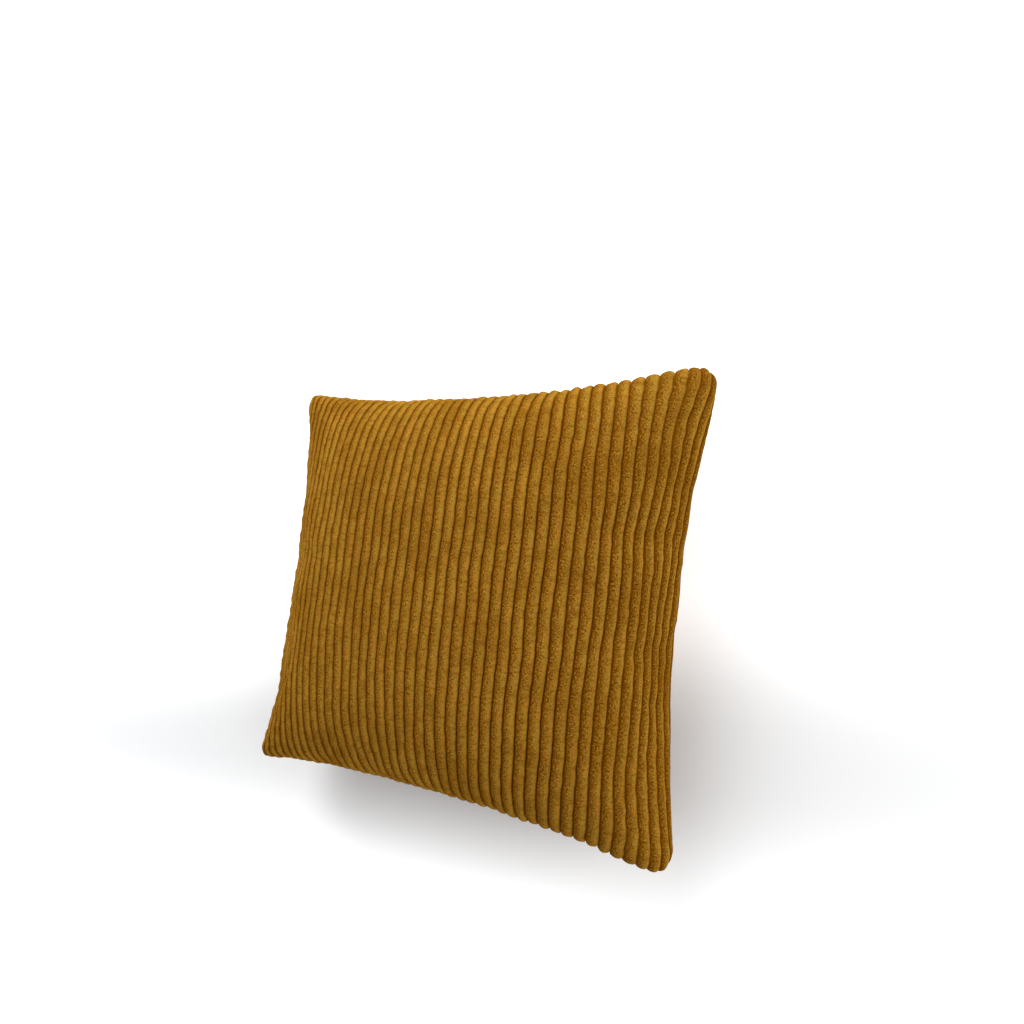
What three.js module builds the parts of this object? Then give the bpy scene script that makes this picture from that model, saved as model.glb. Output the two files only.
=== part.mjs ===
// A square throw cushion in wide-wale corduroy, filled, and lying on its back.
//
// Millimetres, +Z up. X runs across the wales and Y along them. The origin lies on the
// surface that carries the cushion, under its middle. The cover is a front panel and a back
// panel, sewn together all round in one flat seam, and the filled cushion is one solid.
import * as THREE from 'three';

// The seam's outline, seen from above
const HALF = 212; // from the middle to the line that sharp corners would touch
const SIDE_DRAW = 18.6; // how far the seams beside the wales pull in at half length
const END_DRAW = 17.4; // how far the seams across the wales' ends pull in
const DRAW_POWER = 2.4; // a higher power keeps the pull further into the corners
const CORNER_RADIUS = 18;

// The crown of a panel
const CROWN = 79; // height of the cloth over the seam in the middle
const CROWN_POWER = 3.3; // a higher power makes the top flatter
const EDGE_POWER = 0.7; // a lower power makes the panel meet the seam more steeply
const CORNER_FULLNESS = 0.33; // how much fuller the corners are than the sides

// The wales, the raised ribs of the corduroy
const WALE_PITCH = 9.87; // measured along the cloth
const WALE_HEIGHT = 2.3;
const WALE_SHOULDER = 0.24; // share of the pitch that each sloping side takes
const WALE_OFFSET = 2.4; // how far the middle wale lies from the middle of the panel
const END_GATHER = 0.032; // how much narrower the wales are at their ends
const TAPERED_WALES = 6; // the wales beside each side seam that narrow more, to fit the corners
const SEAM_MARGIN = 1; // the least distance between a wale's lines and the side seam

// Where the back is pressed flat by the cushion's weight
const REST_PRESS = 7; // how far the crown of the back is pressed in
const REST_BLEND = 4; // how far round the flat patch the cloth is eased into it
const WALE_PRESS = 0.1; // how much shorter the wales are pressed on the flat patch

// The mesh
const ROWS = 20; // steps along the wales
const ARC_STEPS = 120; // steps with which a row's cloth is measured

const SEAM_HEIGHT = CROWN + WALE_HEIGHT - REST_PRESS;
const PATCH_DEPTH = SEAM_HEIGHT - WALE_HEIGHT + WALE_PRESS;

// Half the cushion's length at a distance x from its middle, with the corner rounded off
function endSeam(x) {
  const drawn = HALF - END_DRAW * (1 - (Math.abs(x) / HALF) ** DRAW_POWER);
  const intoCorner = Math.max(Math.abs(x) - (HALF - CORNER_RADIUS), 0) / CORNER_RADIUS;
  return drawn - CORNER_RADIUS * (1 - Math.sqrt(1 - Math.min(intoCorner, 1) ** 2));
}

// Half the cushion's width at a distance y from its middle
function sideSeam(y) {
  return HALF - SIDE_DRAW * (1 - (Math.abs(y) / HALF) ** DRAW_POWER);
}

// One at the middle and nought at the seam, a being the share of the way to the seam
function swell(a) {
  return Math.max(1 - Math.abs(a) ** CROWN_POWER, 0) ** EDGE_POWER;
}

// Height of a panel over the seam: the swell across times the swell along, fuller at corners
function crown(across, along) {
  const fullness = 1 - CORNER_FULLNESS * across ** 2 * along ** 2;
  return CROWN * (swell(across) * swell(along)) ** fullness;
}

// Lengths of cloth from the middle line to even steps on the way to the side seam
function rowLengths(halfWidth, along) {
  const shares = [0];
  const lengths = [0];
  for (let i = 1; i <= ARC_STEPS; i++) {
    shares.push(i === ARC_STEPS ? 1 : Math.sin((i / ARC_STEPS) * (Math.PI / 2)));
    const run = halfWidth * (shares[i] - shares[i - 1]);
    const rise = crown(shares[i], along) - crown(shares[i - 1], along);
    lengths.push(lengths[i - 1] + Math.hypot(run, rise));
  }
  return { shares, lengths, total: lengths[ARC_STEPS] };
}

// Share of the way to the side seam at which a given share of the row's cloth is used up
function shareAt(row, part) {
  const wanted = Math.abs(part) * row.total;
  let i = 1;
  while (i < ARC_STEPS && row.lengths[i] < wanted) i++;
  const step = (wanted - row.lengths[i - 1]) / (row.lengths[i] - row.lengths[i - 1]);
  const share = row.shares[i - 1] + step * (row.shares[i] - row.shares[i - 1]);
  return Math.sign(part) * Math.min(share, 1);
}

// The lines along the wales: { cloth: distance from the middle, lift: 0 in a groove, 1 on top }
function waleLines(halfCloth) {
  const lines = [{ cloth: -halfCloth, lift: 0 }];
  const most = Math.ceil(halfCloth / WALE_PITCH);
  for (let wale = -most; wale <= most; wale++) {
    const groove = (wale - 0.5) * WALE_PITCH + WALE_OFFSET;
    const shape = [
      { cloth: groove, lift: 0 },
      { cloth: groove + WALE_SHOULDER * WALE_PITCH, lift: 1 },
      { cloth: groove + (1 - WALE_SHOULDER) * WALE_PITCH, lift: 1 },
    ];
    lines.push(...shape.filter((line) => Math.abs(line.cloth) < halfCloth - SEAM_MARGIN));
  }
  lines.push({ cloth: halfCloth, lift: 0 });
  return lines;
}

// Share of a row's cloth at which a wale line runs: even wales, but narrower ones at the side
function partOfRow(cloth, along, halfCloth, rowTotal) {
  const evenUpTo = halfCloth - TAPERED_WALES * WALE_PITCH;
  const gather = 1 - END_GATHER * along ** 2;
  const even = Math.min(Math.abs(cloth), evenUpTo) * gather;
  const past = Math.max(Math.abs(cloth) - evenUpTo, 0) / (halfCloth - evenUpTo);
  return (Math.sign(cloth) * (even + past * (rowTotal - evenUpTo * gather))) / rowTotal;
}

// The point of the bare panel at a wale line and a row, before it is raised
function panelPoint(line, along, halfCloth) {
  let x = Math.min(Math.max(line.cloth, -sideSeam(0)), sideSeam(0));
  let y = 0;
  let across = 0;
  const rowTotal = rowLengths(sideSeam(along * HALF), along).total;
  const part = partOfRow(line.cloth, along, halfCloth, rowTotal);
  for (let pass = 0; pass < 6; pass++) {
    y = along * endSeam(x);
    const halfWidth = sideSeam(y);
    across = shareAt(rowLengths(halfWidth, along), part);
    x = across * halfWidth;
  }
  return new THREE.Vector3(x, y, crown(across, along));
}

// The lesser of a depth and the patch's depth, eased from one into the other
function pressed(depth) {
  const near = Math.max(REST_BLEND - Math.abs(depth - PATCH_DEPTH), 0) / REST_BLEND;
  return Math.min(depth, PATCH_DEPTH) - (near * near * REST_BLEND) / 4;
}

// A panel with its wales raised square to the cloth, side 1 for the front and -1 for the back
function raisedPanel(bare, lines, side) {
  const cloth = bare.map((column) =>
    column.map((p) => new THREE.Vector3(p.x, p.y, side > 0 ? p.z : -pressed(p.z))),
  );
  return cloth.map((column, i) =>
    column.map((point, j) => {
      const inside = i > 0 && j > 0 && i < lines.length - 1 && j < ROWS;
      if (!inside) return new THREE.Vector3(point.x, point.y, SEAM_HEIGHT);
      const across = cloth[i + 1][j].clone().sub(cloth[i - 1][j]);
      const along = cloth[i][j + 1].clone().sub(cloth[i][j - 1]);
      const outward = across.cross(along).multiplyScalar(side).normalize();
      const raised = point.clone().addScaledVector(outward, lines[i].lift * WALE_HEIGHT);
      raised.z = Math.max(raised.z + SEAM_HEIGHT, 0);
      return raised;
    }),
  );
}

// One closed body of two panels that share the points of the seam
function closedBody(front, back) {
  const columns = front.length;
  const rows = front[0].length;
  const positions = [];
  const numbers = { front: [], back: [] };
  const isSeam = (i, j) => i === 0 || j === 0 || i === columns - 1 || j === rows - 1;
  const add = (p) => positions.push(p.x, p.y, p.z) / 3 - 1;
  for (let i = 0; i < columns; i++) {
    numbers.front.push([]);
    numbers.back.push([]);
    for (let j = 0; j < rows; j++) {
      numbers.front[i].push(add(front[i][j]));
      numbers.back[i].push(isSeam(i, j) ? numbers.front[i][j] : add(back[i][j]));
    }
  }
  const index = [];
  for (const [name, flip] of [['front', false], ['back', true]]) {
    const n = numbers[name];
    for (let i = 0; i < columns - 1; i++) {
      for (let j = 0; j < rows - 1; j++) {
        // The diagonals run out towards the corners, so the panels share no triangle there
        const outwards = i < (columns - 1) / 2 === j < (rows - 1) / 2;
        const [a, b, c, d] = [n[i][j], n[i + 1][j], n[i + 1][j + 1], n[i][j + 1]];
        const faces = outwards ? [[a, b, c], [a, c, d]] : [[a, b, d], [b, c, d]];
        for (const [p, q, r] of faces) index.push(...(flip ? [p, r, q] : [p, q, r]));
      }
    }
  }
  const geometry = new THREE.BufferGeometry();
  geometry.setAttribute('position', new THREE.Float32BufferAttribute(positions, 3));
  geometry.setIndex(index);
  geometry.computeVertexNormals();
  return geometry;
}

function cushionGeometry() {
  const halfCloth = rowLengths(sideSeam(0), 0).total;
  const lines = waleLines(halfCloth);
  const alongs = [];
  for (let row = 0; row <= ROWS; row++) alongs.push(Math.sin((row / ROWS - 0.5) * Math.PI));
  const bare = lines.map((line) => alongs.map((along) => panelPoint(line, along, halfCloth)));
  return closedBody(raisedPanel(bare, lines, 1), raisedPanel(bare, lines, -1));
}

const corduroy = new THREE.MeshStandardMaterial({ color: 0x9a6b20, roughness: 0.95, metalness: 0 });

const cushion = new THREE.Mesh(cushionGeometry(), corduroy);
cushion.name = 'cushion';

const throwCushion = new THREE.Group();
throwCushion.add(cushion);

export default throwCushion;
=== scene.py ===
# %% [markdown]
# # A throw cushion in wide-wale corduroy
#
# The cushion is two square panels of ochre corduroy, sewn together all round and filled.
# It lies on its back, pressed flat where it touches the floor. This lesson builds the
# cover's shape from a formula, lets a cloth simulation settle it, raises the wales on it
# one by one, and then makes the pile out of shader nodes.

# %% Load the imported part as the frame
import math

import bpy
import numpy as np
from mathutils import Matrix, Vector


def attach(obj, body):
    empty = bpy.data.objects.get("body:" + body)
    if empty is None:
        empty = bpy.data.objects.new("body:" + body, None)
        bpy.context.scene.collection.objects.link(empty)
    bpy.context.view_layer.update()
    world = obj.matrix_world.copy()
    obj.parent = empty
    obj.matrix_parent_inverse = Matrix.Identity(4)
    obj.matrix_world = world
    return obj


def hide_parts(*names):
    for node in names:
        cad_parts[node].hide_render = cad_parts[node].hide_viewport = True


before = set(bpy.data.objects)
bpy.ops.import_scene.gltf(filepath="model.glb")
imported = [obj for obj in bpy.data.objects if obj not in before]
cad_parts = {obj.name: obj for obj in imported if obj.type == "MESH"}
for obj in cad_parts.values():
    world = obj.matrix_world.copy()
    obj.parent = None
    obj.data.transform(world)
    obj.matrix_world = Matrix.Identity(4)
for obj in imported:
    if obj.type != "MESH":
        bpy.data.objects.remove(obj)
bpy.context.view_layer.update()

MM = 0.001

# %% [markdown]
# ## The camera
#
# The picture was taken from close by and from the right, so the cushion's left side is
# far smaller than its right side. A long lens could never show that: the camera has to
# stand close, with a wide lens. Its place was worked out from how the wales run together.

# %% Place the camera
SEAM_HEIGHT = 74.3 * MM
CAMERA_SPOT = Vector((168.1, -18.3, 462.7)) * MM + Vector((0, 0, SEAM_HEIGHT))
CAMERA_RIGHT = Vector((0.90736, 0.12198, -0.40226))
CAMERA_UP = Vector((-0.09125, 0.99131, 0.09475))
FOCAL_SHARE = 0.4796
SHIFT = (0.0879, 0.0661)
SENSOR_WIDTH = 36.0

camera_data = bpy.data.cameras.new("camera")
camera_data.sensor_width = SENSOR_WIDTH
camera_data.lens = SENSOR_WIDTH * FOCAL_SHARE
camera_data.shift_x, camera_data.shift_y = SHIFT
camera_data.clip_start = 0.01
camera = bpy.data.objects.new("camera", camera_data)
camera_back = CAMERA_RIGHT.cross(CAMERA_UP)
turn = Matrix((CAMERA_RIGHT, CAMERA_UP, camera_back)).transposed()
camera.matrix_world = Matrix.Translation(CAMERA_SPOT) @ turn.to_4x4()
bpy.context.scene.collection.objects.link(camera)
bpy.context.scene.camera = camera
print("lens %.1f mm" % camera_data.lens)

# %% [markdown]
# ## The form of a panel
#
# A filled square cover isn't a square any more. The filling lifts each panel into a crown,
# and as the cloth can't stretch, the seams are drawn in between the corners. The form could
# be sculpted, but a formula keeps it even: one swell across, one swell along, multiplied.

# %% Name the sizes of the cushion
# Each seam is drawn in most at its middle, by so many millimetres. A higher power keeps
# the draw even for longer before it lets go towards the corners.
HALF = 212 * MM
SIDE_DRAWS = {"left": 17.9, "right": 15.6}
SIDE_POWERS = {"left": 4.03, "right": 2.32}
END_DRAWS = {"bottom": 18.5, "top": 21.3}
END_POWERS = {"bottom": 3.18, "top": 3.10}
CORNER_RADII = {"bottom left": 22.9, "bottom right": 29.7, "top left": 28.1, "top right": 32.1}

# A high power makes the crown broad, and a low edge value makes its rim steep.
CROWN = 80.2 * MM
ACROSS_POWER, ACROSS_EDGE = 4.030, 0.939
ALONG_POWER, ALONG_EDGE = 3.009, 0.546
CROWN_SHIFTS = {"along": -0.020, "across": 0.003}
CORNER_FULLNESS = 0.505

REST_BLEND = 4.0 * MM


# %% Write the form as functions of where the cloth is
def drawn_seam(place, which, draws, powers):
    """Half the cushion's size at a place along a seam: the seam is drawn in by the side's
    own amount in the middle, and less and less towards the corners."""
    low, high = draws
    away = np.minimum(np.abs(place) / HALF, 1)
    draw = np.where(which > 0, draws[high], draws[low]) * MM
    return HALF - draw * (1 - away ** np.where(which > 0, powers[high], powers[low]))


def end_seam(x, along):
    """Half the length at x, on the bottom or top side that along's sign names."""
    return drawn_seam(x, along, END_DRAWS, END_POWERS)


def side_seam(y, across):
    """Half the width at y, on the left or right side that across's sign names."""
    return drawn_seam(y, across, SIDE_DRAWS, SIDE_POWERS)


def rounded_corners(x, y):
    """The plan with its four corners blunted: inside a square at each corner, both ways in
    are shortened as when a square is drawn together into a quarter of a disc, where each
    way is multiplied by the root of one less half the other's square."""
    corner = np.where(y > 0, 2, 0) + np.where(x > 0, 1, 0)
    radius = np.array(list(CORNER_RADII.values()))[corner] * MM
    into = [np.clip((np.abs(v) - HALF + radius) / radius, 0, 1) for v in (x, y)]
    pulled = [radius * a * (1 - np.sqrt(1 - b**2 / 2)) for a, b in (into, into[::-1])]
    return x - np.sign(x) * pulled[0], y - np.sign(y) * pulled[1]


def swell(a, power, edge):
    """One in the middle and nought at the seam: (1 - a to the power) to the edge power."""
    return np.maximum(1 - np.abs(a) ** power, 0) ** edge


def crown(across, along):
    """Height over the seam: the two swells multiplied, and fuller towards the corners."""
    along_top = along + CROWN_SHIFTS["along"] * (1 - along**2)
    across_top = across + CROWN_SHIFTS["across"] * (1 - across**2)
    base = swell(np.clip(across_top, -1, 1), ACROSS_POWER, ACROSS_EDGE)
    base = base * swell(along_top, ALONG_POWER, ALONG_EDGE)
    fullness = 1 - CORNER_FULLNESS * across**2 * along**2
    return CROWN * np.where(base > 0, np.maximum(base, 1e-12) ** fullness, 0)


def pressed(depth, patch):
    """The lesser of the depth and the patch's depth, eased from one into the other."""
    near = np.maximum(REST_BLEND - np.abs(depth - patch), 0) / REST_BLEND
    return np.minimum(depth, patch) - near**2 * REST_BLEND / 4


print("crown %.1f mm on each side of the seam" % (CROWN / MM))

# %% [markdown]
# ## Where each wale runs
#
# A wale stays the same width along the cloth, so its place is measured along the curved
# cloth from the panel's middle line, not in plan. That alone makes the wales crowd together
# at the sides, as they do in the picture. Near the corners a seam cuts off the last wales.
# A little drift is added, because no cover is filled and shaken quite straight.

# %% Find the place of each line of the cloth
WALE_PITCH = 9.801 * MM
MIDDLE_GROOVE = -0.116
ROWS = 108
WALE_PHASES = (0, 0.05, 0.12, 0.22, 0.36, 0.50, 0.64, 0.78, 0.88, 0.95)
SEAM_CLEARANCE = 0.4 * MM
ARC_STEPS = 200
FITTING_ROUNDS = 4
CLOTH_OVER_PLAN = 1.14

# All drifts are in millimetres. The left side has slipped over as a whole, and near the
# right side the waver grows by a share of itself.
DRIFT = {"lean": -1.37, "gather": -13.97, "fan": 6.90, "skew": 4.89, "bend": -1.13}
LEFT_DRIFT = {"by": 2.9, "from": -55, "over": 8.6}
RIGHT_SLACK, RIGHT_FROM, RIGHT_OVER = 0.8, 160, 25
WAVERS = ((0.35 * MM, 80 * MM, 11), (0.14 * MM, 15 * MM, 12))  # size, spacing, seed
WAVE_COUNT = 12


def smooth_noise(points, spacing, seed):
    """A sum of plane waves with seeded directions, 0.7 to 1.6 times as long as the spacing,
    over the root of half their number, so that it comes out near one."""
    draws = np.random.default_rng(seed)
    total = np.zeros(points.shape[:-1])
    for _ in range(WAVE_COUNT):
        angle, phase_shift, stretch = draws.uniform(0, 1, 3) * (2 * np.pi, 2 * np.pi, 1)
        turns = 2 * np.pi / (spacing * (0.7 + 0.9 * stretch))
        run = points[..., 0] * np.cos(angle) + points[..., 1] * np.sin(angle)
        total += np.sin(run * turns + phase_shift)
    return total / np.sqrt(WAVE_COUNT / 2)


def drifted(cloth, along):
    """Where a line that started at that distance has come to lie, row by row: it leans in
    proportion to the way along, gathers and fans with the square of it, skews with it and
    the square of the way across, and bends with its cube. Waver is seeded noise."""
    side = cloth / (2 * HALF)
    moved = DRIFT["lean"] * along + DRIFT["gather"] * side * along**2
    moved = moved + DRIFT["fan"] * (2 * side) ** 3 * along**2
    moved = moved + DRIFT["skew"] * (2 * side) ** 2 * along + DRIFT["bend"] * along**3
    left = 1 / (1 + np.exp((cloth / MM - LEFT_DRIFT["from"]) / LEFT_DRIFT["over"]))
    moved = moved + LEFT_DRIFT["by"] * left
    spots = np.stack(np.broadcast_arrays(cloth, along * HALF), -1)
    waver = sum(size * smooth_noise(spots, spacing, seed) for size, spacing, seed in WAVERS)
    waver *= 1 + RIGHT_SLACK * np.clip((cloth / MM - RIGHT_FROM) / RIGHT_OVER, 0, 1)
    return cloth + moved * MM + waver


def panel_grid(cloth, alongs):
    """The bare panel on a grid of cloth lines and rows. A point's share of the way across
    is looked up where the row's length of cloth, from its middle, matches the line's."""
    shares = np.sin(np.linspace(0, np.pi / 2, ARC_STEPS))
    wanted = drifted(cloth[:, None], alongs[None, :])
    sign = np.sign(wanted)
    x = np.clip(wanted, -0.9 * HALF, 0.9 * HALF)  # a first guess, put right in each round
    across = np.zeros_like(wanted)
    beyond = np.zeros(wanted.shape, bool)
    for _ in range(FITTING_ROUNDS):
        y = alongs * end_seam(x, alongs + 0 * x)
        width = side_seam(y, sign)
        for row, along in enumerate(alongs):
            for half in (-1, 1):
                own = sign[:, row] == half
                runs = np.diff(shares) * np.median(width[own, row])
                rises = np.diff(crown(shares * half, along))
                lengths = np.append(0, np.cumsum(np.hypot(runs, rises)))
                across[own, row] = np.interp(np.abs(wanted[own, row]), lengths, shares)
                beyond[own, row] = np.abs(wanted[own, row]) > lengths[-1] - SEAM_CLEARANCE
        across[beyond] = 1
        x = sign * across * width
    across = sign * across
    x, y = rounded_corners(x, alongs * end_seam(x, alongs + 0 * x))
    return np.stack([x, y, crown(across, alongs[None, :])], -1), across, beyond


def wale_lines():
    """Distances from the middle of the cloth to every line of the mesh, ten to a wale."""
    most = math.ceil(CLOTH_OVER_PLAN * HALF / WALE_PITCH)
    wales = np.arange(-most, most + 1)[:, None] + np.array(WALE_PHASES)[None, :]
    return (wales.ravel() + MIDDLE_GROOVE) * WALE_PITCH


alongs = np.sin(np.linspace(-np.pi / 2, np.pi / 2, ROWS + 1))
lines = wale_lines()
bare, acrosses, beyond = panel_grid(lines, alongs)
used = ~beyond.all(axis=1)
first, last = np.flatnonzero(used)[[0, -1]]
kept_lines = slice(first - 1, last + 2)
lines, bare, acrosses, beyond = [a[kept_lines] for a in (lines, bare, acrosses, beyond)]
print("%d lines across, %d rows" % (len(lines), ROWS + 1))

# %% [markdown]
# ## The back, and the flat patch it lies on
#
# The back panel is taken as the front's twin, turned over. Its crown is pressed in by the
# cushion's own weight, and a smooth lesser-of-two keeps that patch free of a hard rim.

# %% Turn the bare panel into a front and a back
WALE_HEIGHT = 3.0 * MM
CREST_PRESS = 0.1 * MM
PATCH_DEPTH = SEAM_HEIGHT - WALE_HEIGHT + CREST_PRESS


def mirrored_back(panel):
    """The same grid with each height turned downwards and held at the patch's depth."""
    back = panel.copy()
    back[..., 2] = -pressed(panel[..., 2], PATCH_DEPTH)
    return back


panels = {"front": bare, "back": mirrored_back(bare)}
print("seam %.1f mm over the floor" % (SEAM_HEIGHT / MM))

# %% [markdown]
# ## Let the cover settle
#
# A formula is too even for a filled cover: a real one has soft dents where the filling is
# thin, and the cloth puckers a little along its seams. Those could be painted on as noise,
# but a cloth simulation makes them hang together. A coarse copy of the cover, slightly
# dented and cut a little too large, is blown up by pressure with gravity off. Only the
# unevenness is kept, as the even swelling is already in the formula, and it is capped.

# %% Make a coarse copy of the cover
SIM_STEPS = 76
PLAN_ROUNDS = 6


def even_grid(steps):
    """The bare panel on an even grid of shares across and along, a little denser at seams."""
    even = np.linspace(-1, 1, steps + 1)
    shares = 0.5 * even + 0.5 * np.sin(even * np.pi / 2)
    across, along = np.meshgrid(shares, shares, indexing="ij")
    x = across * HALF
    for _ in range(PLAN_ROUNDS):
        y = along * end_seam(x, along)
        x = across * side_seam(y, across)
    x, y = rounded_corners(x, y)
    return shares, np.stack([x, y, crown(across, along)], -1)


def closed_pillow(front, back):
    """One mesh of two square grids that share their rims, its faces pointing out."""
    steps = len(front) - 1
    front_numbers = np.arange(front[..., 0].size).reshape(front.shape[:2])
    back_numbers = front_numbers + front_numbers.size
    for rim in (np.s_[0, :], np.s_[steps, :], np.s_[:, 0], np.s_[:, steps]):
        back_numbers[rim] = front_numbers[rim]
    quads = []
    for numbers, order in ((front_numbers, 1), (back_numbers, -1)):
        cell = [numbers[:-1, :-1], numbers[1:, :-1], numbers[1:, 1:], numbers[:-1, 1:]]
        quads.append(np.stack([c.ravel() for c in cell], 1)[:, ::order])
    quads = np.concatenate(quads)
    kept, quads = np.unique(quads, return_inverse=True)
    spots = np.concatenate([front.reshape(-1, 3), back.reshape(-1, 3)])[kept]
    pillow = bpy.data.meshes.new("settling_cover")
    pillow.from_pydata(spots.tolist(), [], quads.reshape(-1, 4).tolist())
    return pillow, spots, np.searchsorted(kept, np.stack([front_numbers, back_numbers]))


print("coarse cover: %d steps a side" % SIM_STEPS)

# %% Blow the copy up
SIM_FRAMES = 20
SIM_PRESSURE = 4.0
SIM_GROWTH = -0.012  # a negative shrink: the cloth is cut too large
SOLVER_STEPS = 6
CLOTH_MASS = 0.3
STRETCH_STIFFNESS, SHEAR_STIFFNESS, BEND_STIFFNESS = 25, 10, 0.6


def blown_up(pillow):
    """Where the points of a closed mesh come to rest under pressure, without gravity."""
    copy = bpy.data.objects.new("settling_cover", pillow)
    bpy.context.scene.collection.objects.link(copy)
    cloth = copy.modifiers.new("settle", "CLOTH")
    settings = cloth.settings
    settings.quality = SOLVER_STEPS
    settings.mass = CLOTH_MASS
    settings.tension_stiffness = settings.compression_stiffness = STRETCH_STIFFNESS
    settings.shear_stiffness = SHEAR_STIFFNESS
    settings.bending_stiffness = BEND_STIFFNESS
    settings.use_pressure = True
    settings.uniform_pressure_force = SIM_PRESSURE
    settings.shrink_min = SIM_GROWTH
    settings.effector_weights.gravity = 0
    cloth.collision_settings.use_collision = False
    cloth.point_cache.frame_start = 1
    cloth.point_cache.frame_end = SIM_FRAMES
    for frame_number in range(1, SIM_FRAMES + 1):
        bpy.context.scene.frame_set(frame_number)
    settled = copy.evaluated_get(bpy.context.evaluated_depsgraph_get()).to_mesh()
    spots = np.zeros(len(settled.vertices) * 3, np.float32)
    settled.vertices.foreach_get("co", spots)
    bpy.data.objects.remove(copy)
    bpy.data.meshes.remove(pillow)
    bpy.context.scene.frame_set(1)
    return spots.reshape(-1, 3).astype(float)


print("pressure %.1f for %d frames" % (SIM_PRESSURE, SIM_FRAMES))

# %% [markdown]
# ## Keep what is lopsided
#
# What the pressure does to all four quarters alike would change the size of the cushion,
# which is known. Only what differs between the quarters is wanted, at the scale of a dent,
# so the broad part is blurred out and the mean of the quarters is taken off.

# %% Keep the unevenness alone
DENT = 1.2 * MM
DENT_SPACING = 60 * MM
DENT_SEED = 5
DETAIL_REACH = 26 * MM
MOST_MOVE = 5.0 * MM
SETTLED_SHARE = 0.4


def blurred(field, spacing, reach):
    """A field on the grid with all that is finer than the reach taken out, by a run of
    small averages with the neighbours on each side."""
    rounds = max(1, int(2 * (reach / spacing) ** 2))
    for _ in range(rounds):
        for axis in (0, 1):
            field = np.swapaxes(field, 0, axis)
            padded = np.concatenate([field[:1], field, field[-1:]])
            field = (padded[:-2] + 2 * padded[1:-1] + padded[2:]) / 4
            field = np.swapaxes(field, 0, axis)
    return field


def lopsided(moves):
    """The part of the moves that differs between the four quarters of the cushion: the
    mean of the four, each turned over to match, is taken off."""
    turned = [moves, moves[::-1] * (-1, 1, 1), moves[:, ::-1] * (1, -1, 1),
              moves[::-1, ::-1] * (-1, -1, 1)]
    return moves - sum(turned) / 4


def capped(moves):
    """The moves with none longer than the cap: each length goes through a tanh of it."""
    length = np.maximum(np.linalg.norm(moves, axis=-1, keepdims=True), 1e-9)
    return moves * MOST_MOVE * np.tanh(length / MOST_MOVE) / length


def on_lines(field, shares):
    """A field on the even grid, read off at the places of the wale lines: the mean of the
    four grid points round each place, weighted by nearness."""
    places = (acrosses, alongs + 0 * acrosses)
    spot = [np.interp(v, shares, np.arange(len(shares))) for v in places]
    low = [np.clip(v.astype(int), 0, len(shares) - 2) for v in spot]
    part = [(v - i)[..., None] for v, i in zip(spot, low)]
    i, j = low
    below = field[i, j] * (1 - part[0]) + field[i + 1, j] * part[0]
    above = field[i, j + 1] * (1 - part[0]) + field[i + 1, j + 1] * part[0]
    return below * (1 - part[1]) + above * part[1]


shares, start = even_grid(SIM_STEPS)
dented = start.copy()
depth = start[..., 2] / CROWN
dented[..., 2] += DENT * smooth_noise(start, DENT_SPACING, DENT_SEED) * depth
back_start = mirrored_back(start)
pillow, before, numbers = closed_pillow(dented, back_start)
moves = blown_up(pillow) - before
for name, own, plain in (("front", dented, start), ("back", back_start, back_start)):
    move = moves[numbers[0 if name == "front" else 1]] + own - plain
    uneven = lopsided(move - blurred(move, 2 * HALF / SIM_STEPS, DETAIL_REACH))
    print(name, "moved %.1f mm, uneven by %.1f mm" % (
        np.abs(move).max() / MM, np.abs(uneven).max() / MM))
    panels[name] = panels[name] + SETTLED_SHARE * on_lines(capped(uneven), shares)

# %% [markdown]
# ## Raise the wales
#
# Corduroy's wales are rows of cut pile, round on top and meeting in narrow grooves. They
# could be a bump in the material, but at this width they show in the outline, so each one
# is raised in the mesh: a rounded profile, square to the cloth. Close to the seam the
# stitching holds the pile down, which gives the wales their rounded ends. Towards the
# right side the wales are worn a little flatter, as the picture shows them.

# %% Work out each point's lift
BOTTOM_PINCH, TOP_PINCH = 5.4 * MM, 3.2 * MM
WALE_ROUNDNESS = 0.5
LUMPS = 0.1
LUMP_SPACING = 10 * MM
LUMP_SEED = 21
HOLD_POWER = 1.5
WORN_FLAT, WORN_FROM, WORN_OVER = 0.3, 150 * MM, 50 * MM


def wale_profile(phase):
    """Height over the groove as a share, along a half ellipse from groove to groove."""
    return np.maximum(1 - (2 * phase - 1) ** 2, 0) ** WALE_ROUNDNESS


def step_lengths(panel):
    """Distance of each point along its line from the row before it."""
    steps = np.linalg.norm(np.diff(panel, axis=1), axis=-1)
    return np.concatenate([np.zeros((len(panel), 1)), steps], axis=1)


def outward(panel, side):
    """Unit normals: the cross product of the steps across and along."""
    across = np.gradient(panel, axis=0)
    along = np.gradient(panel, axis=1)
    normal = np.cross(across, along) * side
    return normal / np.maximum(np.linalg.norm(normal, axis=-1, keepdims=True), 1e-12)


def seam_distance(panel):
    """Cloth distance to the nearest seam: the lesser of the way along and the way across."""
    run = np.cumsum(step_lengths(panel), axis=1)
    from_ends = np.minimum(run, run[:, -1:] - run)
    steps = np.linalg.norm(np.diff(panel, axis=0), axis=-1)
    run = np.concatenate([np.zeros((1, panel.shape[1])), np.cumsum(steps, axis=0)])
    from_sides = np.minimum(run, run[-1:] - run)
    return np.minimum(from_ends, from_sides)


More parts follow.
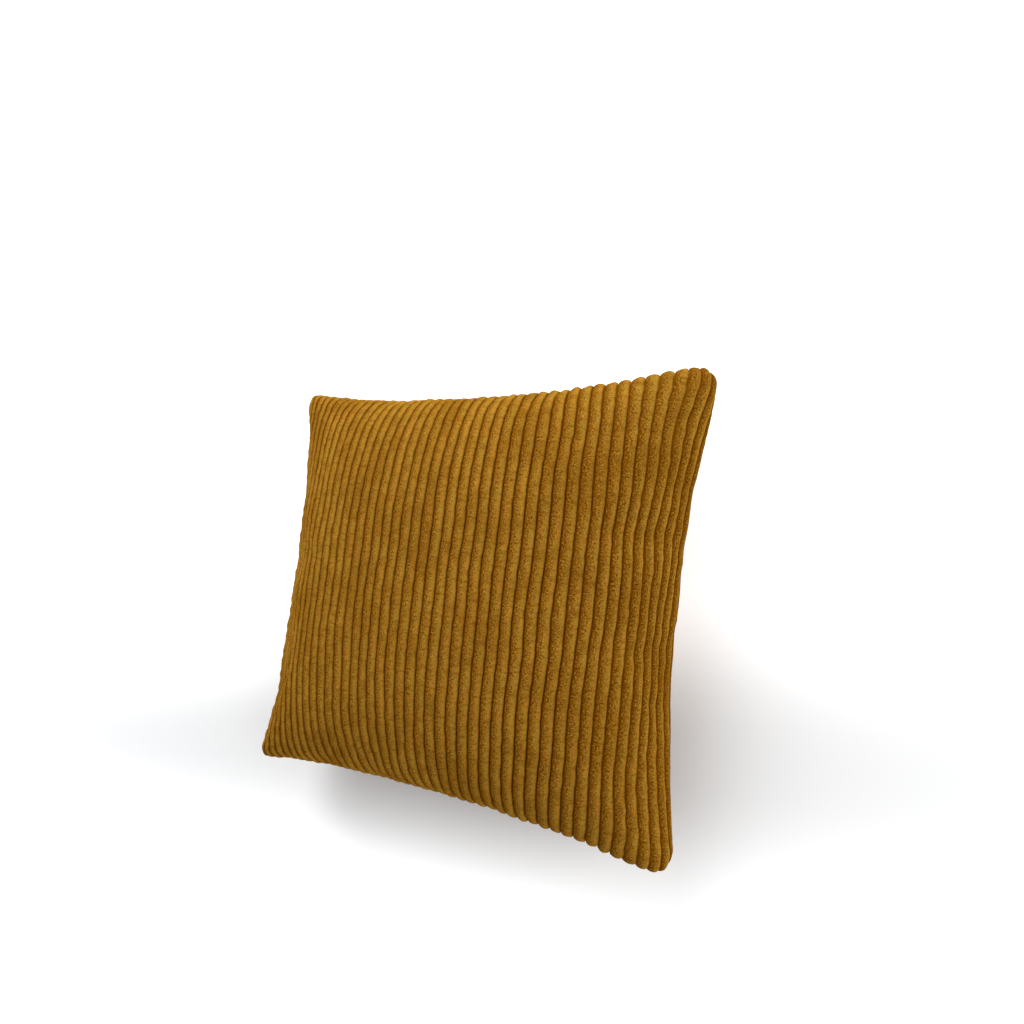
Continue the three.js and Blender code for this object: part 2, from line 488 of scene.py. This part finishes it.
def raised(panel, side):
    """The panel with its wales: each point is moved out by height times profile times wear
    times lumps, and times one less a falling exponential of the way to the seam."""
    phase = (lines / WALE_PITCH - MIDDLE_GROOVE) % 1
    pinch = np.interp(alongs, (-1, 1), (BOTTOM_PINCH, TOP_PINCH))
    hold = 1 - np.exp(-((seam_distance(panel) / pinch) ** HOLD_POWER))
    lumps = 1 + LUMPS * smooth_noise(panel[..., :2], LUMP_SPACING, LUMP_SEED)
    worn = 1 - WORN_FLAT * np.clip((lines - WORN_FROM) / WORN_OVER, 0, 1)
    lift = WALE_HEIGHT * (worn * wale_profile(phase))[:, None] * hold * lumps
    points = panel + outward(panel, side) * lift[..., None]
    points[..., 2] = np.maximum(points[..., 2] + SEAM_HEIGHT, 0)
    return points


shaped = {"front": raised(panels["front"], 1), "back": raised(panels["back"], -1)}
print("highest point %.1f mm" % (shaped["front"][..., 2].max() / MM))

# %% [markdown]
# ## One closed body
#
# The two panels share the points of the seam, so the mesh is closed and has no edge to
# weld. Where a wale is cut off by the side seam, its points fall together on the seam, and
# the faces between them vanish. The cloth's own measures go into a UV map, so the pile
# that the shader draws follows every wale.

# %% Number the points and cut the faces
def vertex_numbers():
    """One number a point: lines cut off at a side share that side's seam point, and the
    back has its own numbers everywhere but on the seam."""
    columns, rows = beyond.shape
    column = np.arange(columns)[:, None] + np.zeros((1, rows), int)
    column[beyond & (lines[:, None] < 0)] = 0
    column[beyond & (lines[:, None] > 0)] = columns - 1
    front = column * rows + np.arange(rows)[None, :]
    seam = beyond.copy()
    seam[:, [0, -1]] = True
    return front, np.where(seam, front, front + columns * rows), seam


def triangles(numbers, seam):
    """Two triangles for each cell of the grid, cut so that none lies in the seam alone."""
    columns, rows = numbers.shape
    i, j = [a.ravel() for a in np.meshgrid(range(columns - 1), range(rows - 1), indexing="ij")]
    a, b, c, d = [(i + p) * rows + j + q for p, q in ((0, 0), (1, 0), (1, 1), (0, 1))]
    flat = seam.ravel()
    other = flat[a] & flat[c]
    first = np.where(other[:, None], np.stack([a, b, d], 1), np.stack([a, b, c], 1))
    second = np.where(other[:, None], np.stack([b, c, d], 1), np.stack([a, c, d], 1))
    cells = np.concatenate([first, second])
    ids = numbers.ravel()[cells]
    whole = (ids[:, 0] != ids[:, 1]) & (ids[:, 1] != ids[:, 2]) & (ids[:, 2] != ids[:, 0])
    return cells[whole & ~flat[cells].all(axis=1)]


def cloth_uv():
    """Metres of cloth across and along for each grid point, cut off where the seam is."""
    middle = beyond.shape[1] // 2
    run = np.cumsum(step_lengths(bare), axis=1)
    along = run - run[:, middle:middle + 1]
    across = lines[:, None] + 0 * along
    for side in (-1, 1):
        inside = np.where(beyond, 0, across * side)
        limit = inside.max(axis=0)[None, :]
        across = np.where(beyond & (across * side > 0), side * limit, across)
    return np.stack([across, along], -1)


front_ids, back_ids, on_seam = vertex_numbers()
cells = triangles(front_ids, on_seam)
print("%d triangles a panel" % len(cells))

# %% Join the panels into one mesh
faces = np.concatenate([front_ids.ravel()[cells], back_ids.ravel()[cells][:, ::-1]])
spots = np.zeros((2 * beyond.size, 3))
spots[back_ids.ravel()] = shaped["back"].reshape(-1, 3)
spots[front_ids.ravel()] = shaped["front"].reshape(-1, 3)
kept, faces = np.unique(faces, return_inverse=True)
faces = faces.reshape(-1, 3)

mesh = bpy.data.meshes.new("cushion_cover")
mesh.vertices.add(len(kept))
mesh.vertices.foreach_set("co", spots[kept].astype(np.float32).ravel())
mesh.loops.add(faces.size)
mesh.loops.foreach_set("vertex_index", faces.ravel().astype(np.int32))
mesh.polygons.add(len(faces))
mesh.polygons.foreach_set("loop_start", np.arange(0, faces.size, 3, dtype=np.int32))
mesh.polygons.foreach_set("use_smooth", np.ones(len(faces), bool))
uv = cloth_uv().reshape(-1, 2)
# The back lies a metre further along the cloth, so it isn't speckled as the front is.
loop_uv = np.concatenate([uv[cells], uv[cells][:, ::-1] + (0, 1)])
mesh.uv_layers.new(name="cloth").data.foreach_set("uv", loop_uv.astype(np.float32).ravel())
from_seam = np.concatenate([seam_distance(panels[side]).ravel() for side in ("front", "back")])
mesh.attributes.new("from_seam", "FLOAT", "POINT")
mesh.attributes["from_seam"].data.foreach_set("value", from_seam[kept].astype(np.float32))
mesh.update(calc_edges=True)
mesh.validate()
cushion = bpy.data.objects.new("corduroy_cushion", mesh)
bpy.context.scene.collection.objects.link(cushion)
print("%d points, %d triangles" % (len(mesh.vertices), len(mesh.polygons)))

# %% [markdown]
# ## The pile
#
# Each wale has a smooth light flank and a darker, speckled one; the dark flank is painted
# shade, in place of light falling on one side of each wale. The grooves get painted shade
# in nearly black-brown, and handling leaves soft patches. Hair could be grown on it, but
# from this far off a fine bump with dark and light tufts looks the same for far less work.
# Where the cloth turns in at the seam, a thin line of painted shade darkens the crease.

# %% Start the material and its helpers
def rgb(red, green, blue):
    """A colour as seen on a screen, 0 to 255, turned into the renderer's linear values."""
    seen = np.array([red, green, blue]) / 255
    linear = np.where(seen <= 0.04045, seen / 12.92, ((seen + 0.055) / 1.055) ** 2.4)
    return (*linear.tolist(), 1.0)


material = bpy.data.materials.new("corduroy")
material.use_nodes = True
tree = material.node_tree
shader = tree.nodes["Principled BSDF"]


def node(kind, **settings):
    """A new node with its settings made."""
    made = tree.nodes.new(kind)
    for name, value in settings.items():
        setattr(made, name, value)
    return made


def math_node(operation, first, second=None, third=None):
    """The output of a Math node whose inputs are numbers or other outputs."""
    made = node("ShaderNodeMath", operation=operation)
    for socket, value in zip(made.inputs, (first, second, third)):
        if value is None:
            continue
        if isinstance(value, (int, float)):
            socket.default_value = value
        else:
            tree.links.new(value, socket)
    return made.outputs[0]


def scaled(value, factor):
    """An output times a number."""
    return math_node("MULTIPLY", value, factor)


def smooth_mask(value, low, high, to_low=0.0, to_high=1.0):
    """A soft step from one value to another as the input goes from low to high."""
    made = node("ShaderNodeMapRange", interpolation_type="SMOOTHSTEP")
    tree.links.new(value, made.inputs["Value"])
    for name, number in zip(("From Min", "From Max", "To Min", "To Max"),
                            (low, high, to_low, to_high)):
        made.inputs[name].default_value = number
    return made.outputs["Result"]


def mixed(share, first, second):
    """One colour laid over another by a share."""
    made = node("ShaderNodeMix", data_type="RGBA")
    given = (share, first, second)
    for socket, value in zip((made.inputs[0], made.inputs[6], made.inputs[7]), given):
        if isinstance(value, (int, float, tuple)):
            socket.default_value = value
        else:
            tree.links.new(value, socket)
    return made.outputs[2]


cloth_map = node("ShaderNodeUVMap", uv_map="cloth")
cloth_place = node("ShaderNodeSeparateXYZ")
tree.links.new(cloth_map.outputs["UV"], cloth_place.inputs[0])
across_cloth = cloth_place.outputs["X"]


def noise(features, detail=2.0, roughness=0.5):
    """Noise on the cloth, with so many features to a metre across and along."""
    stretch = node("ShaderNodeMapping")
    stretch.inputs["Scale"].default_value = (*features, 1)
    tree.links.new(cloth_map.outputs["UV"], stretch.inputs["Vector"])
    made = node("ShaderNodeTexNoise", noise_dimensions="2D")
    made.inputs["Scale"].default_value = 1.0
    made.inputs["Detail"].default_value = detail
    made.inputs["Roughness"].default_value = roughness
    tree.links.new(stretch.outputs["Vector"], made.inputs["Vector"])
    return made.outputs["Fac"]


print("helpers ready")

# %% [markdown]
# ## Within one wale
#
# Nearly all that the eye sees depends on how far across its own wale a tuft stands, from 0
# at one groove to 1 at the next. That number is the fraction of a count of wales. The
# count wanders a little, because cut pile never ends in a clean line.

# %% Find the grooves and the two flanks
GROOVE_NUDGE = 0.065
WANDER, WANDER_FEATURES = 0.08, (110, 110)
LEFT_SHADE_WIDENING = (-0.2, -0.06, 0.45, 1.0)
LEFT_FLANK_STRETCH = 1.15
GROOVE_EDGE = (0.02, 0.145)
PAINTED_LIT_FLANK_RISE = (0.06, 0.72)
SHADED_FLANK_RISE, SHADED_FLANK_FALL = (0.0, 0.15), (0.45, 0.8)

wale_count = math_node("MULTIPLY_ADD", across_cloth, 1 / WALE_PITCH, -MIDDLE_GROOVE - GROOVE_NUDGE)
phase = math_node("FRACT", math_node("MULTIPLY_ADD", noise(WANDER_FEATURES), WANDER, wale_count))
# Towards the cushion's left the painted shade of the grooves reaches further up the right flank.
left_shade_widening = smooth_mask(across_cloth, *LEFT_SHADE_WIDENING)
right_flank = math_node("MULTIPLY", math_node("SUBTRACT", 1.0, phase), left_shade_widening)
to_groove = math_node("MINIMUM", scaled(phase, LEFT_FLANK_STRETCH), right_flank)
# Painted shade in the grooves: near a groove the colour turns black-brown.
groove = smooth_mask(to_groove, *GROOVE_EDGE, 1.0, 0.0)
painted_lit_flank = smooth_mask(phase, *PAINTED_LIT_FLANK_RISE)
shaded_flank_falling = smooth_mask(phase, *SHADED_FLANK_FALL, 1.0, 0.0)
# The flank that is painted in shade, where dark dots gather and the grain is rougher.
shaded_flank = math_node("MULTIPLY", smooth_mask(phase, *SHADED_FLANK_RISE), shaded_flank_falling)
print("groove mask up to %.1f mm from a groove" % (GROOVE_EDGE[1] * WALE_PITCH / MM))

# %% [markdown]
# ## Tufts, marks and patches
#
# Single tufts catch the light or turn away from it, and this speckle is painted highlights
# and painted shade on a random spread of tufts. Bent pile leaves short marks across the
# wales, and handling and dye leave broad soft patches. Painted spots would repeat or need a
# picture, so each is noise at its own scale, cut to a soft-edged mask.

# %% Spread them over the cloth
# Features to a metre across and along, detail and roughness, then where the mask rises.
pile_grain = noise((900, 800), 2.0, 0.7)
dark_tufts = smooth_mask(noise((620, 560), 2.0, 0.6), 0.5, 0.62)
light_tufts = smooth_mask(noise((780, 700), 2.0, 0.6), 0.54, 0.66)
cross_marks = smooth_mask(noise((70, 330), 2.0, 0.55), 0.52, 0.7)
patches = smooth_mask(noise((20, 14), 3.0, 0.55), 0.4, 0.7)
blotches = smooth_mask(noise((90, 60), 3.0, 0.6), 0.48, 0.68)
tint_patches = smooth_mask(noise((120, 75), 3.0, 0.6), 0.4, 0.62)
print("six masks and a grain")

# %% [markdown]
# ## Lay the colours over one another
#
# The colours go on in layers: the ochre of the lit flank first, then the brown of the
# painted shade on the other flank and in the soft patches, then dots, painted shade in the
# grooves and along the crease at the seam. One flat ochre with shadows would look like
# plastic, since half of corduroy's shading is in its pile, and here that shading is painted.

# %% Mix the colour
OCHRE = rgb(172, 125, 41)
OLIVE_OCHRE = rgb(165, 126, 40)
ORANGE_OCHRE = rgb(178, 120, 39)
LIGHT_OCHRE = rgb(214, 166, 74)
SHADE_AND_PATCH_BROWN = rgb(122, 74, 3)
DOT_BROWN = rgb(84, 42, 0)
DEEP_SHADE_BROWN = rgb(88, 40, 0)
TINT_SHARE = 0.5
PATCH_SHARE, BLOTCH_SHARE, MARK_SHARE = 0.4, 0.35, 0.45
DOTS_EVERYWHERE, DOTS_IN_SHADED_FLANK, LIGHT_DOTS = 0.22, 0.5, 0.5
GROOVE_FADE = (0.08, 0.19, 0.84, 0.25)
CREASE_REACH, CREASE_SHADE_SHARE = (0.0002, 0.0018), 0.8

bright = mixed(TINT_SHARE, OCHRE, mixed(tint_patches, OLIVE_OCHRE, ORANGE_OCHRE))
# Painted shade: one flank of each wale takes the brown, and the lit flank keeps the ochre.
colour = mixed(painted_lit_flank, SHADE_AND_PATCH_BROWN, bright)
colour = mixed(scaled(patches, PATCH_SHARE), colour, SHADE_AND_PATCH_BROWN)
colour = mixed(scaled(blotches, BLOTCH_SHARE), colour, SHADE_AND_PATCH_BROWN)
colour = mixed(scaled(cross_marks, MARK_SHARE), colour, SHADE_AND_PATCH_BROWN)
dots = math_node("MULTIPLY_ADD", shaded_flank, DOTS_IN_SHADED_FLANK, DOTS_EVERYWHERE)
# Painted shade and painted highlights of single tufts, thickest on the flank painted in shade.
colour = mixed(math_node("MULTIPLY", dark_tufts, dots), colour, DOT_BROWN)
colour = mixed(math_node("MULTIPLY", light_tufts, scaled(dots, LIGHT_DOTS)), colour, LIGHT_OCHRE)
# The grooves are shallower towards the right side, so their painted shade fades there.
groove_shade_share = smooth_mask(across_cloth, *GROOVE_FADE)
colour = mixed(math_node("MULTIPLY", groove, groove_shade_share), colour, DEEP_SHADE_BROWN)
# Painted shade: a thin dark line along the seam, where the cloth turns in.
from_seam_node = node("ShaderNodeAttribute", attribute_name="from_seam")
crease = smooth_mask(from_seam_node.outputs["Fac"], *CREASE_REACH, 1.0, 0.0)
colour = mixed(scaled(crease, CREASE_SHADE_SHARE), colour, DEEP_SHADE_BROWN)
tree.links.new(colour, shader.inputs["Base Color"])
print("colour from %d nodes" % len(tree.nodes))

# %% [markdown]
# ## Roughness and sheen
#
# Tufts are too short and too many to build, so their grain is a bump, stronger on the flank
# that is painted in shade than on the lit flank. Cotton pile has no gloss at all: a highlight
# would make it look like plastic, so the shader has none, and only a trace of warm sheen.

# %% Roughen the pile and finish the shader
SHADED_FLANK_GRAIN, BASE_GRAIN = 0.7, 0.35
GRAIN_STRENGTH, GRAIN_DEPTH = 0.8, 0.8 * MM

roughening = math_node("MULTIPLY_ADD", shaded_flank, SHADED_FLANK_GRAIN, BASE_GRAIN)
bump = node("ShaderNodeBump")
bump.inputs["Strength"].default_value = GRAIN_STRENGTH
bump.inputs["Distance"].default_value = GRAIN_DEPTH
tree.links.new(math_node("MULTIPLY", pile_grain, roughening), bump.inputs["Height"])
tree.links.new(bump.outputs["Normal"], shader.inputs["Normal"])
shader.inputs["Roughness"].default_value = 0.95
shader.inputs["Specular IOR Level"].default_value = 0.0
shader.inputs["Sheen Weight"].default_value = 0.06
shader.inputs["Sheen Roughness"].default_value = 0.4
shader.inputs["Sheen Tint"].default_value = rgb(240, 180, 30)
mesh.materials.append(material)
print("corduroy: %d nodes" % len(tree.nodes))

# %% [markdown]
# ## The floor
#
# A studio floor is lit until it is pure white, and only a long pool of shade is left round
# the object. More lamps could do that, but they would flatten the wales, so the floor
# itself glows a little outside an oval, and the cushion's own shadow falls inside it.

# %% Make the floor
FLOOR_REACH = 8.0
GLOW = (0.0, 0.5)
GLOW_FROM, GLOW_TO = 0.27, 1.67
SHADE_MIDDLE, SHADE_REACH, SHADE_TURN = (-0.02, -0.178, 0), (0.867, 0.105, 1), 0.181
FLOOR_COLOUR = (0.94, 0.95, 0.96, 1)

floor_mesh = bpy.data.meshes.new("floor")
corners = [(x * FLOOR_REACH, y * FLOOR_REACH, 0) for x, y in ((-1, -1), (1, -1), (1, 1), (-1, 1))]
floor_mesh.from_pydata(corners, [], [(0, 1, 2, 3)])
floor = bpy.data.objects.new("floor", floor_mesh)
bpy.context.scene.collection.objects.link(floor)
floor_paint = bpy.data.materials.new("floor_paint")
floor_paint.use_nodes = True
floor_shader = floor_paint.node_tree.nodes["Principled BSDF"]
floor_shader.inputs["Base Color"].default_value = FLOOR_COLOUR
floor_shader.inputs["Roughness"].default_value = 0.9
# Painted light: the floor glows white in place of more lamps, and the oval where the glow is held
# back is a painted pool of shade.
floor_shader.inputs["Emission Color"].default_value = (1, 1, 1, 1)
floor_tree = floor_paint.node_tree
place = floor_tree.nodes.new("ShaderNodeTexCoord")
shade = floor_tree.nodes.new("ShaderNodeMapping")
shade.vector_type = "TEXTURE"
shade.inputs["Location"].default_value = SHADE_MIDDLE
shade.inputs["Scale"].default_value = SHADE_REACH
shade.inputs["Rotation"].default_value = (0, 0, SHADE_TURN)
away = floor_tree.nodes.new("ShaderNodeVectorMath")
away.operation = "LENGTH"
glow = floor_tree.nodes.new("ShaderNodeMapRange")
glow.interpolation_type = "SMOOTHSTEP"
for name, number in zip(("From Min", "From Max", "To Min", "To Max"),
                        (GLOW_FROM, GLOW_TO, *GLOW)):
    glow.inputs[name].default_value = number
floor_tree.links.new(place.outputs["Object"], shade.inputs["Vector"])
floor_tree.links.new(shade.outputs["Vector"], away.inputs[0])
floor_tree.links.new(away.outputs["Value"], glow.inputs["Value"])
floor_tree.links.new(glow.outputs["Result"], floor_shader.inputs["Emission Strength"])
floor_mesh.materials.append(floor_paint)
print("floor %.0f m across" % (2 * FLOOR_REACH))

# %% [markdown]
# ## Two soft lights
#
# The wales run up the picture, so a light straight from one side would give each a hard
# shadow. The main light is high, behind the upper end, and a weaker one opens up the right.

# %% Hang the lights
WORLD_LIGHT = 0.45
KEY_SPOT, KEY_SIZE, KEY_POWER = (-0.9, 1.7, 1.3), 1.4, 47
FILL_SPOT, FILL_SIZE, FILL_POWER = (1.9, 0.5, 1.3), 1.6, 21


def area_light(name, spot, size, power):
    """A square soft light at a spot, aimed at the cushion's middle."""
    data = bpy.data.lights.new(name, "AREA")
    data.size, data.energy = size, power
    lamp = bpy.data.objects.new(name, data)
    aim = Vector((0, 0, SEAM_HEIGHT)) - Vector(spot)
    aimed = aim.to_track_quat("-Z", "Y").to_matrix().to_4x4()
    lamp.matrix_world = Matrix.Translation(spot) @ aimed
    bpy.context.scene.collection.objects.link(lamp)


world = bpy.data.worlds.new("studio")
world.use_nodes = True
world.node_tree.nodes["Background"].inputs["Color"].default_value = (1, 1, 1, 1)
world.node_tree.nodes["Background"].inputs["Strength"].default_value = WORLD_LIGHT
bpy.context.scene.world = world
area_light("key", KEY_SPOT, KEY_SIZE, KEY_POWER)
area_light("fill", FILL_SPOT, FILL_SIZE, FILL_POWER)
bpy.context.scene.view_settings.view_transform = "Standard"
print("two soft lights and a pale sky")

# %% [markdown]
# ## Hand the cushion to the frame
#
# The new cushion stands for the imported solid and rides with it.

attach(cushion, "root")
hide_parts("cushion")
